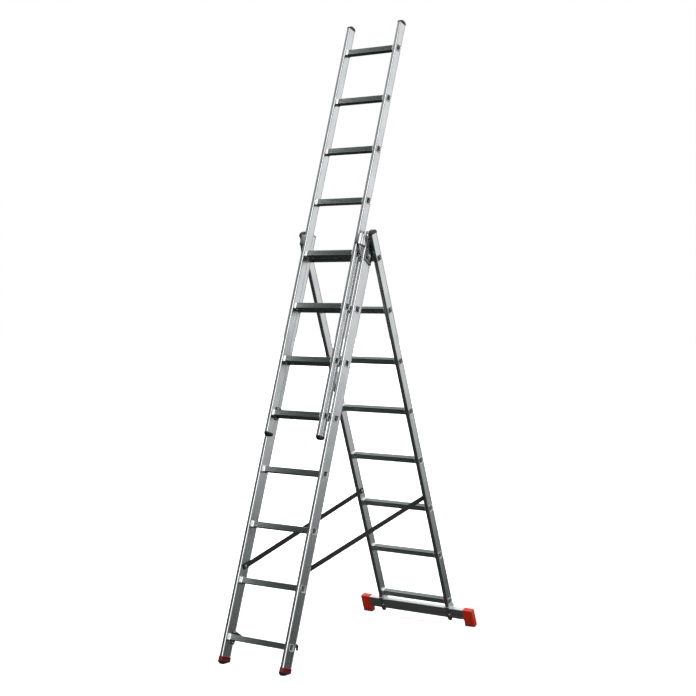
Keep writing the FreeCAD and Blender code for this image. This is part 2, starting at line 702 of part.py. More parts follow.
ahead, behind = strap_ends()
run = behind - ahead
along = Vector(run)
along.normalize()
flat = Vector(1, 0, 0) - along * along.x
flat.normalize()
upward = along.cross(flat)
turn = Rotation(FreeCAD.Matrix(along.x, flat.x, upward.x, 0, along.y, flat.y, upward.y, 0,
                               along.z, flat.z, upward.z, 0, 0, 0, 0, 1))
strap = doc.addObject("Part::Box", "strap")
bind(strap, Length="%.4f + 2 * dims.strap_tail" % run.Length, Width="dims.strap_thick",
     Height="dims.strap_wide")
corner = turn.multVec(Vector(-dim("strap_tail"), -dim("strap_thick") / 2, -dim("strap_wide") / 2))
strap.Placement = Placement(ahead + corner, turn)
strap_holes = [peg("strap_hole", "4.2", "20", "%.4f - 10" % spot.x, "%.4f" % spot.y, "%.4f" % spot.z)
               for spot in (ahead, behind)]
strap_right = node(cut("strap_cut", strap, joined("strap_holes", strap_holes)), "strap_right")
mirrored(strap_right, "strap_left")

# ---------------------------------------------------------------- rivets and bolts


def headed(name, radius, head_low, head_long, shank_radius, shank_low, shank_long, across, up):
    """A rivet or bolt along X: its head and its shank."""
    return joined(name, [peg(name + "_head", radius, head_long, head_low, across, up),
                         peg(name + "_shank", shank_radius, shank_long, shank_low, across, up)])


inside_top = "(dims.top_half - dims.top_thick)"
inside_front = "(dims.front_half - dims.front_thick)"
inside_rear = "(dims.rear_half - dims.rear_thick)"
HOOK_SPOTS = {"top": [(11, 25.5), (20, 25.5), (14, -25.5), (23, -25.5)],
              "front": [(12, 25.5), (24, 25.5), (16, -25.5), (28, -25.5)]}


def hook_rivets(section, inside):
    """Four rivet heads on a hook plate, two above and two below the rung."""
    return [peg("rivet", "dims.rivet_rad", "2", "%s - dims.hook_plate - 2" % inside,
                "%g" % across, "%g" % up) for across, up in HOOK_SPOTS[section]]


pair(joined("top_rivet_set", hook_rivets("top", inside_top)), "top_rivets", "top")
hinge_heads = [peg("rivet", "dims.rivet_rad", "0.6", "dims.front_half + dims.hinge_plate",
                   "%g" % across, "%g" % up) for across, up in RIVETS_FRONT]
pair(joined("front_rivet_set", hook_rivets("front", inside_front) + hinge_heads),
     "front_rivets", "front")
RIVETS_REAR = [(-12.0, TOP_RUNG + 40), (10.0, TOP_RUNG + 40), (-12.0, TOP_RUNG + 88),
               (10.0, TOP_RUNG + 88)]
pair(joined("rear_rivet_set", [peg("rivet", "dims.rivet_rad", "0.6",
                                   "%s - dims.hinge_plate - 0.6" % inside_rear,
                                   "%g" % across, "%g" % up) for across, up in RIVETS_REAR]),
     "rear_rivets", "rear")

strap_bolt_front = headed("strap_bolt", "8", "%s - 6.6" % inside_front, "2", "3.5",
                          "%s - 4.6" % inside_front, "4.6 + dims.recess", "0", "dims.strap_front")
guide_bolts = [peg("guide_bolt", "5", "3", "dims.front_half - dims.front_thick - 3",
                   "%g" % across, "dims.guide_low + dims.guide_tall / 2 + %g" % up)
               for across, up in ((-16, -12), (-16, 14))]
pair(joined("front_bolt_set", [strap_bolt_front] + guide_bolts), "front_bolts", "front")

strap_bolt_rear = headed("strap_bolt", "8", "%s - 6.6" % inside_rear, "2", "3.5",
                         "%s - 4.6" % inside_rear, "4.6 + dims.recess", "0", "dims.strap_rear")


def saddle_bolt():
    """A bolt through the saddle and the stabiliser tube, front to back."""
    spot = "(dims.rear_half - dims.rear_thick / 2)"
    up = "-dims.bar_top - 40"
    pieces = []
    for radius, start, length in (("6.5", "-dims.bar_deep / 2 - dims.saddle_plate - 4", "4"),
                                  ("6.5", "dims.bar_deep / 2 + dims.saddle_plate", "5")):
        pin = doc.addObject("Part::Cylinder", fresh("saddle_bolt"))
        pin.Placement = Placement(Vector(), Rotation(Vector(1, 0, 0), -90))
        bind(pin, Radius=radius, Height=length, Placement__Base__x=spot,
             Placement__Base__y=start, Placement__Base__z=up)
        pieces.append(pin)
    return pieces


pair(joined("rear_bolt_set", [strap_bolt_rear] + saddle_bolt()), "rear_bolts", "rear")

# ---------------------------------------------------------------- check and write

doc.recompute()
for thing in doc.Objects:
    if "Invalid" in thing.State or "Error" in thing.State:
        raise RuntimeError("%s (%s) failed: %s" % (thing.Name, thing.Label, thing.State))
labels = [thing.Label for thing in nodes]
if len(set(labels)) != len(labels):
    raise RuntimeError("two pieces share a name")
os.makedirs("parts", exist_ok=True)
for thing in nodes:
    shape = thing.Shape
    if shape.isNull() or not shape.isValid() or not shape.Solids:
        raise RuntimeError("%s has no valid solid" % thing.Label)
    shape.exportStep("parts/%s.step" % thing.Label)
print("%d pieces" % len(nodes))
whole = Part.makeCompound([thing.Shape for thing in nodes]).BoundBox
print("box %.1f %.1f %.1f to %.1f %.1f %.1f" % (whole.XMin, whole.YMin, whole.ZMin,
                                               whole.XMax, whole.YMax, whole.ZMax))
print("hinge at y %.3f z %.3f" % (hinge_point.y, hinge_point.z))
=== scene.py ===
"""Looks of a three-section combination ladder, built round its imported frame.

Each section has a frame of its own: X across, Y from the climbing side to the back, Z up the stiles from
the bottom rung's centre line. Pieces are worked out in that frame and then leant with the section.
Lengths in the code are metres; mm is one millimetre.
"""

import bpy
import math
import numpy as np
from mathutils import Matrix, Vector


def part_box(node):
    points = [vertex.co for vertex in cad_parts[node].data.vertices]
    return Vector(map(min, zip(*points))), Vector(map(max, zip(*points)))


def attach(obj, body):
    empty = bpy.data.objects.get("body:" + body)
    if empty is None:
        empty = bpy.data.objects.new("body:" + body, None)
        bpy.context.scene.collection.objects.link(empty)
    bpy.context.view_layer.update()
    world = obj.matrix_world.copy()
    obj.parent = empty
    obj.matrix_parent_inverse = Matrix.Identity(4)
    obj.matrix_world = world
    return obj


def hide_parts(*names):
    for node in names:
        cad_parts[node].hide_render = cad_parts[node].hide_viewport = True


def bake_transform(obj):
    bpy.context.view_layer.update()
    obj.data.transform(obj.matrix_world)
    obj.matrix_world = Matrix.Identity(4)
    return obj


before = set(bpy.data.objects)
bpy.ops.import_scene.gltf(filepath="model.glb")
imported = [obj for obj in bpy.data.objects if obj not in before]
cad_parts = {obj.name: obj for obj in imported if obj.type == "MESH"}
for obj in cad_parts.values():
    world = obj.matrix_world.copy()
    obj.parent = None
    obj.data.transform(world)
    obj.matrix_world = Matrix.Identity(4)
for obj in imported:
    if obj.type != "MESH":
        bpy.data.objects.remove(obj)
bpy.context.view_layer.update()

bl_info = {
    "name": "Combination ladder",
    "version": (1, 0, 0),
    "blender": (4, 5, 0),
    "location": "3D View > Sidebar > Ladder",
    "description": "Treads, stiles, fittings and straps of a three-section combination ladder",
    "category": "Add Mesh",
}

mm = 0.001
SECTIONS = ("front", "top", "rear")

# ------------------------------------------------------------------ the sections' own frames


def middle(node):
    """Centre of a CAD node's box."""
    low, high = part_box(node)
    return (np.array(low) + np.array(high)) / 2


def section_frame(section):
    """Columns X, Y, Z and origin of a section: Z runs from its bottom rung to its top rung."""
    bottom = middle(section + "_rung_1")
    top = middle(section + "_rung_8")
    up = (top - bottom) / np.linalg.norm(top - bottom)
    across = np.array([1.0, 0.0, 0.0])
    return np.column_stack([across, np.cross(up, across), up, bottom])


def width_of(node):
    """A CAD node's size across the ladder."""
    low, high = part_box(node)
    return high[0] - low[0]


FRAMES = {section: section_frame(section) for section in SECTIONS}
LEAN = {section: math.atan2(FRAMES[section][1, 2], FRAMES[section][2, 2]) for section in SECTIONS}
PITCH = float(np.linalg.norm(middle("front_rung_8") - middle("front_rung_1")) / 7)
TOP_RUNG = 7 * PITCH
HALF = {section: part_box(section + "_stile_right")[1][0] for section in SECTIONS}
THICK = {section: width_of(section + "_stile_right") for section in SECTIONS}
INSIDE = {section: HALF[section] - THICK[section] for section in SECTIONS}


def placed(points, section):
    """Points of a section's own frame, in the ladder's frame."""
    base = FRAMES[section]
    return points @ base[:, :3].T + base[:, 3]


def vertices(mesh):
    """A mesh's points, one a row."""
    flat = np.zeros(len(mesh.vertices) * 3, np.float32)
    mesh.vertices.foreach_get("co", flat)
    return flat.reshape(-1, 3)


def local_box(node, section):
    """A CAD node's lowest and highest corner in its section's own frame."""
    base = FRAMES[section]
    own = (vertices(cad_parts[node].data) - base[:, 3]) @ base[:, :3]
    return own.min(0), own.max(0)


def stile_ends(section):
    """How far a stile reaches below the bottom rung and above the top one."""
    low, high = local_box(section + "_stile_right", section)
    return -float(low[2]), float(high[2]) - TOP_RUNG


ENDS = {section: stile_ends(section) for section in SECTIONS}
HOOK_PLATE = 4 * mm
HINGE_PLATE = 3 * mm
GUIDE_MIDDLE = 2029 * mm
GUIDE_LENGTH = 54 * mm


# ------------------------------------------------------------------ settings


class LadderSizes(bpy.types.PropertyGroup):
    """Sizes of the details."""

    tread_groove: bpy.props.FloatProperty(
        name="Tread groove", description="Depth of the grooves along a tread",
        default=1.3 * mm, unit="LENGTH")
    tread_corner: bpy.props.FloatProperty(
        name="Tread corner", description="Corner radius of a tread tube",
        default=2.2 * mm, unit="LENGTH")
    collar_length: bpy.props.FloatProperty(
        name="Collar length", description="Length of the pressed collar at a tread's root",
        default=11.0 * mm, unit="LENGTH")
    edge: bpy.props.FloatProperty(
        name="Pressed edge", description="Rounded edge of a stamped plate",
        default=0.6 * mm, unit="LENGTH")
    webbing_rib: bpy.props.FloatProperty(
        name="Webbing rib", description="Spacing of the ribs woven across a strap",
        default=2.4 * mm, unit="LENGTH")


class LadderColours(bpy.types.PropertyGroup):
    """Colours of the finishes, as sRGB hex."""

    aluminium: bpy.props.StringProperty(
        name="Aluminium", description="Mill-finish extrusion", default="E4E6E7")
    cap: bpy.props.StringProperty(
        name="End cap", description="Orange-red moulded caps of the stabiliser", default="AC2306")
    foot: bpy.props.StringProperty(
        name="Foot", description="Dark red moulded feet", default="6A0D0A")
    plug: bpy.props.StringProperty(
        name="Plug", description="Black plugs and soles", default="17181A")
    plate: bpy.props.StringProperty(
        name="Plate", description="Dark coated steel plates", default="232626")
    bare: bpy.props.StringProperty(
        name="Bare steel", description="Mid-grey hinge plates", default="8C9191")
    tread: bpy.props.StringProperty(
        name="Tread", description="Dull alloy of the treads", default="8E9794")
    webbing: bpy.props.StringProperty(
        name="Webbing", description="Spreader straps", default="0B0B0C")


def sizes():
    return bpy.context.scene.ladder_sizes


def colours():
    return bpy.context.scene.ladder_colours


# ------------------------------------------------------------------ materials


def linear(code):
    """A hex sRGB colour as linear red, green, blue, alpha."""
    parts = np.array([int(code[i:i + 2], 16) for i in (0, 2, 4)]) / 255
    low = parts / 12.92
    high = ((parts + 0.055) / 1.055) ** 2.4
    return (*np.where(parts <= 0.04045, low, high).tolist(), 1.0)


def toned(colour, times):
    """A linear colour made darker or lighter."""
    return tuple(part * times for part in colour[:3]) + (1.0,)


def add(tree, kind, inputs=None, **settings):
    """A node with its settings; an input is a value, or a socket to link from."""
    made = tree.nodes.new(kind)
    for key, value in settings.items():
        setattr(made, key, value)
    for key, value in (inputs or {}).items():
        if isinstance(value, bpy.types.NodeSocket):
            tree.links.new(value, made.inputs[key])
        else:
            made.inputs[key].default_value = value
    return made


def new_material(name):
    """An empty material and its node tree."""
    material = bpy.data.materials.new(name)
    material.use_nodes = True
    material.node_tree.nodes.clear()
    return material, material.node_tree


def object_place(tree):
    """The point in the ladder's own metres."""
    return add(tree, "ShaderNodeTexCoord").outputs["Object"]


def stretched(tree, vector, **settings):
    """The vector turned or scaled by a mapping."""
    inputs = {"Vector": vector}
    inputs.update({key.capitalize(): value for key, value in settings.items()})
    return add(tree, "ShaderNodeMapping", inputs).outputs["Vector"]


def noise(tree, vector, scale, detail, roughness=0.5):
    """Cloudy noise from 0 to 1."""
    return add(tree, "ShaderNodeTexNoise", {"Vector": vector, "Scale": scale, "Detail": detail,
                                            "Roughness": roughness}).outputs["Fac"]


def ramp(tree, factor, *stops):
    """A colour ramp from (position, grey or colour) stops."""
    made = add(tree, "ShaderNodeValToRGB", {"Fac": factor})
    elements = made.color_ramp.elements
    while len(elements) < len(stops):
        elements.new(0.5)
    for element, (position, value) in zip(elements, stops):
        element.position = position
        element.color = value if isinstance(value, tuple) else (value, value, value, 1)
    return made.outputs["Color"]


def bumped(tree, height, strength, distance):
    """The surface's normal, roughened by a height."""
    return add(tree, "ShaderNodeBump", {"Height": height, "Strength": strength,
                                        "Distance": distance}).outputs["Normal"]


def surface(tree, colour, rough, **inputs):
    """The principled shader on the material's output; other inputs use _ for a space."""
    named = {key.replace("_", " "): value for key, value in inputs.items()}
    shader = add(tree, "ShaderNodeBsdfPrincipled",
                 {"Base Color": colour, "Roughness": rough, **named})
    add(tree, "ShaderNodeOutputMaterial", {"Surface": shader.outputs["BSDF"]})


def mill_aluminium(section, name, tone, rough):
    """Extruded aluminium as it leaves the die: pale, slightly blurred, with faint lines along its length."""
    material, tree = new_material(name)
    upright = stretched(tree, object_place(tree), rotation=(LEAN[section], 0, 0))
    drawn = noise(tree, stretched(tree, upright, scale=(420.0, 420.0, 3.0)), 1.0, 3.0, 0.6)
    cloudy = noise(tree, upright, 9.0, 4.0, 0.55)
    tint = linear(tone)
    surface(tree, ramp(tree, cloudy, (0.3, toned(tint, 0.86)), (0.65, tint)),
            ramp(tree, drawn, (0.25, rough - 0.07), (0.75, rough + 0.08)),
            Metallic=1.0, Normal=bumped(tree, drawn, 0.08, 0.2 * mm))
    return material


def tread_aluminium(name="tread_aluminium", tone=None):
    """Tube drawn along X: a duller alloy with faint lines along its length."""
    material, tree = new_material(name)
    lines = stretched(tree, object_place(tree), scale=(2.0, 300.0, 300.0))
    drawn = noise(tree, lines, 1.0, 3.0, 0.6)
    surface(tree, linear(tone or colours().tread), ramp(tree, drawn, (0.25, 0.30), (0.75, 0.46)),
            Metallic=1.0, Normal=bumped(tree, drawn, 0.1, 0.2 * mm))
    return material


def moulded_plastic(name, tone, rough):
    """Injection-moulded plastic: a fine spark-eroded grain and soft, broad highlights."""
    material, tree = new_material(name)
    place = object_place(tree)
    grain = 0.6 * mm
    broad = noise(tree, place, 30.0, 3.0)
    tint = linear(tone)
    surface(tree, ramp(tree, broad, (0.3, toned(tint, 0.82)), (0.7, tint)),
            ramp(tree, broad, (0.3, rough - 0.06), (0.7, rough + 0.06)), IOR=1.45,
            Normal=bumped(tree, noise(tree, place, 1.0 / grain, 2.0), 0.15, 0.15 * mm))
    return material


def coated_steel():
    """Stamped steel with a dark coat: nearly black, satin, a little worn to grey in patches."""
    material, tree = new_material("dark_coated_steel")
    patch = noise(tree, object_place(tree), 60.0, 5.0, 0.6)
    tint = linear(colours().plate)
    surface(tree, ramp(tree, patch, (0.45, tint), (0.75, toned(tint, 1.5))),
            ramp(tree, patch, (0.3, 0.34), (0.7, 0.5)), IOR=1.5)
    return material


def zinc_plate(name="zinc_plated_steel", dull="C9CDD0", bright="E9EAEA"):
    """Zinc-plated steel: bright with a faint blue-grey bloom."""
    material, tree = new_material(name)
    bloom = noise(tree, object_place(tree), 180.0, 3.0)
    surface(tree, ramp(tree, bloom, (0.35, linear(dull)), (0.7, linear(bright))),
            ramp(tree, bloom, (0.3, 0.2), (0.7, 0.34)), Metallic=1.0)
    return material


def woven_webbing():
    """Polypropylene webbing: ribs of yarn across the strap, a soft edge, no shine but a faint sheen."""
    material, tree = new_material("woven_webbing")
    own = add(tree, "ShaderNodeUVMap", uv_map="weave").outputs["UV"]

    def yarn(scale, direction):
        return add(tree, "ShaderNodeTexWave",
                   {"Vector": stretched(tree, own, scale=scale), "Scale": 1.0}, wave_type="BANDS",
                   bands_direction=direction, wave_profile="SIN").outputs["Fac"]

    weft = yarn((1.0, 1.0 / (2 * sizes().webbing_rib), 1.0), "Y")
    warp = yarn((350.0, 1.0, 1.0), "X")
    both = add(tree, "ShaderNodeMath", {0: weft, 1: warp}, operation="MULTIPLY").outputs["Value"]
    tint = linear(colours().webbing)
    surface(tree, ramp(tree, both, (0.1, tint), (0.9, toned(tint, 1.6))), 0.85,
            Sheen_Weight=0.08, Sheen_Roughness=0.5, Normal=bumped(tree, both, 0.6, 0.4 * mm))
    return material


def finish(name, maker, *values):
    """The material of that name, made once."""
    return bpy.data.materials.get(name) or maker(*values)


def stile_finish(section):
    return finish("mill_aluminium_%s" % section, mill_aluminium, section,
                  "mill_aluminium_%s" % section, colours().aluminium, 0.24)


def plastic(name, tone, rough=0.45):
    return finish(name, moulded_plastic, name, tone, rough)


def paint(node, material):
    """Gives a carried-over CAD node its finish."""
    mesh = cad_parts[node].data
    mesh.materials.clear()
    mesh.materials.append(material)


# ------------------------------------------------------------------ surfaces


def rounded_profile(grooves=0, corner_steps=4):
    """A rounded rectangle as unit parts: inner-rectangle factors, outward normals and groove depth.

    A point is factor * (half size - radius) + normal * (radius - depth * groove). It runs
    anticlockwise. Each side has the given number of square-bottomed grooves, evenly spaced.
    """
    factor, normal, groove = [], [], []
    for side in range(4):
        facing = side * math.pi / 2
        out = np.array([math.cos(facing), math.sin(facing)])
        along = np.array([-out[1], out[0]])
        marks = [(-1.0, 0.0)]
        step = 2.0 / (grooves + 0.35) if grooves else 0.0
        for k in range(grooves):
            centre = (k - (grooves - 1) / 2) * step
            for edge, depth in ((-0.34, 0.0), (-0.22, 1.0), (0.22, 1.0), (0.34, 0.0)):
                marks.append((centre + edge * step, depth))
        marks.append((1.0, 0.0))
        for t, depth in marks:
            factor.append(out + along * t)
            normal.append(out)
            groove.append(depth)
        for k in range(1, corner_steps):
            turn = facing + k / corner_steps * math.pi / 2
            factor.append(out + along)
            normal.append([math.cos(turn), math.sin(turn)])
            groove.append(0.0)
    return np.array(factor), np.array(normal), np.array(groove)

def skin(rows, around, closed=False, turn=1):
    """Faces over rows of points that each run all the way round.

    With closed, the last row joins the first; otherwise a face fills each end. turn is -1 for rows
    that run the other way round.
    """
    i, j = np.meshgrid(np.arange(rows if closed else rows - 1), np.arange(around), indexing="ij")
    after, beside = (i + 1) % rows, (j + 1) % around
    quads = np.stack([i * around + j, i * around + beside, after * around + beside,
                      after * around + j], -1).reshape(-1, 4)
    faces = (quads if turn > 0 else quads[:, [0, 3, 2, 1]]).tolist()
    if not closed:
        last = (rows - 1) * around
        faces += [list(range(around))[::-turn], list(range(last, last + around))[::turn]]
    return faces


def loft(profile, stations, closed=False):
    """The profile carried along a path, as points and faces.

    Each station is (path, centre a, centre b, half a, half b, radius, groove depth); point = centre +
    factor * (half - radius) + normal * (radius - groove * depth). Points are (path, a, b). With
    closed, the last station joins the first, which makes a hollow tube; otherwise both ends are
    filled by one face.
    """
    factor, normal, groove = profile
    st = np.array(stations, float)
    radius = st[:, 5][:, None, None]
    depth = (radius[:, :, 0] - st[:, 6][:, None] * groove[None, :])[:, :, None]
    plane = (st[:, None, 1:3] + factor[None] * (st[:, None, 3:5] - radius) + normal[None] * depth)
    path = np.broadcast_to(st[:, None, 0:1], plane.shape[:2] + (1,))
    points = np.concatenate([path, plane], 2)
    return points.reshape(-1, 3), skin(*points.shape[:2], closed)


def turned(outline, centre, direction, sides):
    """A solid of revolution about a line along X: rows of (radius, height), columns of angle."""
    rows = np.array(outline, float)
    angle = np.arange(sides) * 2 * math.pi / sides
    radius, height = rows[:, 0][:, None], rows[:, 1][:, None]
    points = np.stack([np.broadcast_to(height, (len(rows), sides)) * direction,
                       radius * np.cos(angle) * direction, radius * np.sin(angle)], -1)
    return points.reshape(-1, 3) + np.array(centre), skin(len(rows), sides)


def turn_axes(shape, order):
    """The shape with its coordinates reordered; an odd order turns its faces about."""
    points, faces = shape
    swapped = points[:, list(order)]
    odd = order in ((0, 2, 1), (1, 0, 2), (2, 1, 0))
    return swapped, [face[::-1] for face in faces] if odd else faces


def mirror(shape):
    """The left-hand twin of a right-hand shape."""
    points, faces = shape
    return points * np.array([-1.0, 1.0, 1.0]), [face[::-1] for face in faces]


SIDES = (("right", lambda shape: shape), ("left", mirror))


def together(shapes):
    """Several shapes as one set of points and faces."""
    points, faces, start = [], [], 0
    for p, f in shapes:
        points.append(p)
        faces += [[v + start for v in face] for face in f]
        start += len(p)
    return np.concatenate(points), faces

def mesh_object(name, points, faces, material, smooth, uv=None, second=None):
    """A mesh object in the scene, smooth but for edges sharper than an angle in degrees.

    second is a material with the per-face mask of where it is used.
    """
    mesh = bpy.data.meshes.new(name)
    mesh.from_pydata(points.tolist(), [], faces)
    if uv is not None:
        layer = mesh.uv_layers.new(name="weave")
        loops = np.zeros(len(mesh.loops), np.int32)
        mesh.loops.foreach_get("vertex_index", loops)
        layer.data.foreach_set("uv", uv[loops].astype(np.float32).ravel())
    mesh.materials.append(material)
    if second:
        mesh.materials.append(second[0])
        mesh.polygons.foreach_set("material_index", second[1].astype(np.int32))
    mesh.shade_smooth()
    mesh.set_sharp_from_angle(angle=math.radians(smooth))
    made = bpy.data.objects.new(name, mesh)
    bpy.context.scene.collection.objects.link(made)
    return made


def piece(name, body, shape, section, material, smooth=30.0, second=None):
    """Puts a shape, given in a section's frame, into a mesh object that rides on a body."""
    made = mesh_object(name, placed(shape[0], section), shape[1], material, smooth, second=second)
    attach(made, body)
    return made


def rounded_outline(corners, radius, steps=4):
    """A closed outline whose corners are replaced by arcs; radius may be one number or one a corner.

    Each arc is the quadratic curve (1-t)^2 P + 2t(1-t) C + t^2 Q between points set back from C.
    """
    c = np.array(corners, float)
    r = np.broadcast_to(np.array(radius, float), (len(c),))
    back = np.roll(c, 1, 0) - c
    ahead = np.roll(c, -1, 0) - c
    back_long = np.linalg.norm(back, axis=1)
    ahead_long = np.linalg.norm(ahead, axis=1)
    setback = np.minimum(r, np.minimum(back_long, ahead_long) * 0.48)[:, None]
    start = c + back / back_long[:, None] * setback
    end = c + ahead / ahead_long[:, None] * setback
    t = np.linspace(0, 1, steps + 1)[None, :, None]
    arcs = ((1 - t) ** 2 * start[:, None] + 2 * t * (1 - t) * c[:, None] + t ** 2 * end[:, None])
    return arcs.reshape(-1, 2)


def stamped(name, outline, holes, thickness, edge):
    """A flat plate with rounded edges, as points and faces, lying in the XY plane from Z 0 up.

    Its outline and holes fill a flat curve, which is given half the thickness each way and a
    rounded rim, and is then read as a mesh.
    """
    curve = bpy.data.curves.new(name + "_outline", "CURVE")
    curve.dimensions = "2D"
    curve.fill_mode = "BOTH"
    curve.extrude = thickness / 2 - edge
    curve.bevel_depth = edge
    curve.bevel_resolution = 2
    curve.offset = -edge
    for loop in [outline, *holes]:
        spline = curve.splines.new("POLY")
        spline.points.add(len(loop) - 1)
        flat = np.zeros((len(loop), 4))
        flat[:, :2] = loop
        flat[:, 3] = 1
        spline.points.foreach_set("co", flat.ravel())
        spline.use_cyclic_u = True
    holder = bpy.data.objects.new(name + "_outline", curve)
    mesh = bpy.data.meshes.new_from_object(holder)
    faces = [list(p.vertices) for p in mesh.polygons]
    points = vertices(mesh).astype(float)
    bpy.data.objects.remove(holder)
    bpy.data.curves.remove(curve)
    bpy.data.meshes.remove(mesh)
    points[:, 2] += thickness / 2
    return points, faces


def upright_plate(name, outline, holes, thickness, edge, start):
    """A stamped plate in the YZ plane: its outline is (back, up), from X start to start + thickness."""
    points, faces = stamped(name, outline, holes, thickness, edge)
    shape = points[:, [2, 0, 1]]
    return shape + np.array([start, 0, 0]), faces


# ------------------------------------------------------------------ stiles


class LADDER_OT_stiles(bpy.types.Operator):
    """Finish the six stiles."""

    bl_idname = "ladder.stiles"
    bl_label = "Stiles"

    def execute(self, context):
        for section in SECTIONS:
            for side in ("right", "left"):
                paint("%s_stile_%s" % (section, side), stile_finish(section))
        return {"FINISHED"}


# ------------------------------------------------------------------ treads


def tread(section, step):
    """A hollow tread tube: grooved body, rolled collar inside each stile, turned-over bead outside."""
    half, inside = HALF[section], INSIDE[section]
    groove, corner = sizes().tread_groove, sizes().tread_corner
    long = sizes().collar_length
    up = step * PITCH
    deep, tall = 15.0 * mm, 14.5 * mm
    bore_deep, bore_tall = 13.2 * mm, 12.7 * mm
    collar = [(0.0, 1.6, 0.0), (0.5, 2.6, 0.0), (1.6, 3.0, 0.0), (2.6, 2.5, 0.0), (3.3, 1.3, 0.0),
              (4.0, 1.1, 0.0), (4.8, 1.5, 0.0), (5.8, 1.4, 0.0), (6.6, 0.8, 0.0), (7.4, 0.2, 0.3),
              (9.0, 0.0, 1.0)]
    bead = [(0.0, 0.4, 0.0), (0.0, 2.1, 0.0), (0.4, 2.6, 0.0), (0.9, 2.6, 0.0), (1.3, 2.2, 0.0),
            (1.5, 1.5, 0.0), (1.4, 0.9, 0.0)]
    right = []
    for offset, grow, depth in collar[::-1]:
        right.append((inside + 1.0 * mm - offset * long / 7.0, grow * mm, depth * groove))
    for offset, grow, depth in bead:
        right.append((half + offset * mm, grow * mm, depth * groove))
    body = [(x, 0, up, deep + g, tall + g, corner + g * 0.8, d) for x, g, d in right]
    left = [(-x, 0, up, deep + g, tall + g, corner + g * 0.8, d) for x, g, d in right[::-1]]
    mouth = (half + 0.5 * mm, 0, up, bore_deep + 0.6 * mm, bore_tall + 0.6 * mm, corner, 0)
    bore = (half - 2.0 * mm, 0, up, bore_deep, bore_tall, corner * 0.8, 0)
    inner = [mouth, bore, (-bore[0],) + bore[1:], (-mouth[0],) + mouth[1:]]
    return loft(rounded_profile(3), left + body + inner, closed=True)


class LADDER_OT_treads(bpy.types.Operator):
    """Build the treads of all three sections."""

    bl_idname = "ladder.treads"
    bl_label = "Treads"

    def execute(self, context):
        metal = finish("tread_aluminium", tread_aluminium)
        # Painted highlight: the collar and bead faces take a near-white alloy that stands in for the glints
        # light makes on them. The bore inside the hollow tube takes it too, as painted light over its shade.
        bright = finish("pressed_aluminium", tread_aluminium, "pressed_aluminium", "F2F4F3")
        for section in SECTIONS:
            for step in range(8):
                node = "%s_rung_%d" % (section, step + 1)
                shape = tread(section, step)
                middles = shape[0][np.array(shape[1]), 0].mean(1)
                pressed = np.abs(middles) > INSIDE[section] - sizes().collar_length
                # The last faces are the bore's: painted light over the shade inside the hollow tube.
                pressed[-len(pressed) // 8:] = True
                made = piece("%s_tread_%d" % (section, step + 1), section + "_section",
                             shape, section, metal, second=(bright, pressed))
                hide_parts(node)
        return {"FINISHED"}


# ------------------------------------------------------------------ plugs and feet


def plug(node, section, up, shoulder):
    """A moulded plug on a stile's end: straight collar, then an arch over the stile's depth.

    At height h of rise H the half depth is D * sqrt(1 - (h/H)^2) and the half width is
    W * (1 - (h/H)^8)^(1/8), so the sides stay flat and the top is round.
    """
    low, high = local_box(node, section)
    centre = HALF[section] - THICK[section] / 2
    wide = high[0] - centre
    deep = (high[1] - low[1]) / 2
    if up:
        cut = TOP_RUNG + ENDS[section][1]
        rise = high[2] - cut
    else:
        cut = -ENDS[section][0]
        rise = cut - low[2]
    sign = 1 if up else -1
    rows = [(0.0, 1.0, 1.0), (shoulder, 1.0, 1.0)]
    for k in range(1, 15):
        turn = k / 14 * math.pi / 2 * 0.985
        h = math.sin(turn)
        rows.append((shoulder + (1 - shoulder) * h, math.cos(turn),
                     (1 - h ** 8) ** (1 / 8)))
    stations = []
    for h, d, w in rows:
        half_wide = max(wide * w, 0.4 * mm)
        half_deep = max(deep * d, 0.4 * mm)
        radius = min(2.6 * mm, half_wide * 0.9, half_deep * 0.9)
        stations.append((cut + sign * rise * h, centre, 0, half_wide, half_deep, radius, 0))
    if not up:
        stations = stations[::-1]
    shape = loft(rounded_profile(0, 5), stations)
    return turn_axes(shape, (1, 2, 0))


def front_foot():
    """A front foot in two shots: a red collar round the stile's end and a black sole under it.

    The sole's lower corners are rounded: at height u above its bottom the half depth is
    D - R + sqrt(R^2 - (R - u)^2) while u is less than R.
    """
    cut = -ENDS["front"][0]
    deep, wide, rise, corner = 34.0 * mm, 12.0 * mm, 36.0 * mm, 14.0 * mm
    centre = HALF["front"] - THICK["front"] / 2
    bottom = cut - rise

    def reach(up):
        short = max(corner - (up - bottom), 0.0)
        return deep - corner + math.sqrt(max(corner * corner - short * short, 0.0))

    collar, sole = [], []
    split = cut - 18.0 * mm
    for up, grow in ((cut + 1.6 * mm, -1.4), (cut + 1.5 * mm, -0.3), (cut + 0.6 * mm, 0.5),
                     (cut - 1.5 * mm, 0.5), (cut - 2.2 * mm, -0.3), (cut - 8 * mm, -0.3),
                     (split + 1 * mm, -0.3), (split, -1.6)):
        collar.append((up, centre, 0, wide + grow * mm, reach(up) + grow * mm, 3.0 * mm, 0))
    for up, grow in ((split + 0.2 * mm, -1.8), (split, -0.2), (split - 0.8 * mm, 0.4)):
        sole.append((up, centre, 0, wide + grow * mm, reach(up) + grow * mm, 3.0 * mm, 0))
    for k in range(13):
        turn = k / 12 * math.pi / 2
        up = bottom + corner * (1 - math.sin(turn))
        half_deep = deep - corner + corner * math.cos(turn)
        half_wide = wide + 0.4 * mm - max(0, k - 9) * 0.7 * mm
        heel = 5.0 * mm * math.sin(turn) ** 2
        sole.append((up, centre, heel, half_wide, half_deep - heel, 3.0 * mm, 0))
    return [turn_axes(loft(rounded_profile(0, 5), rows[::-1]), (1, 2, 0)) for rows in (collar, sole)]


def level(shape, section, low=0.0, high=None):
    """Keeps a shape between two levels over the floor by moving points along the section's height."""
    points, faces = shape
    base = FRAMES[section]
    height = placed(points, section)[:, 2]
    lift = (np.clip(height, low, high) - height) / base[2, 2]
    return points + np.outer(lift, [0, 0, 1]), faces


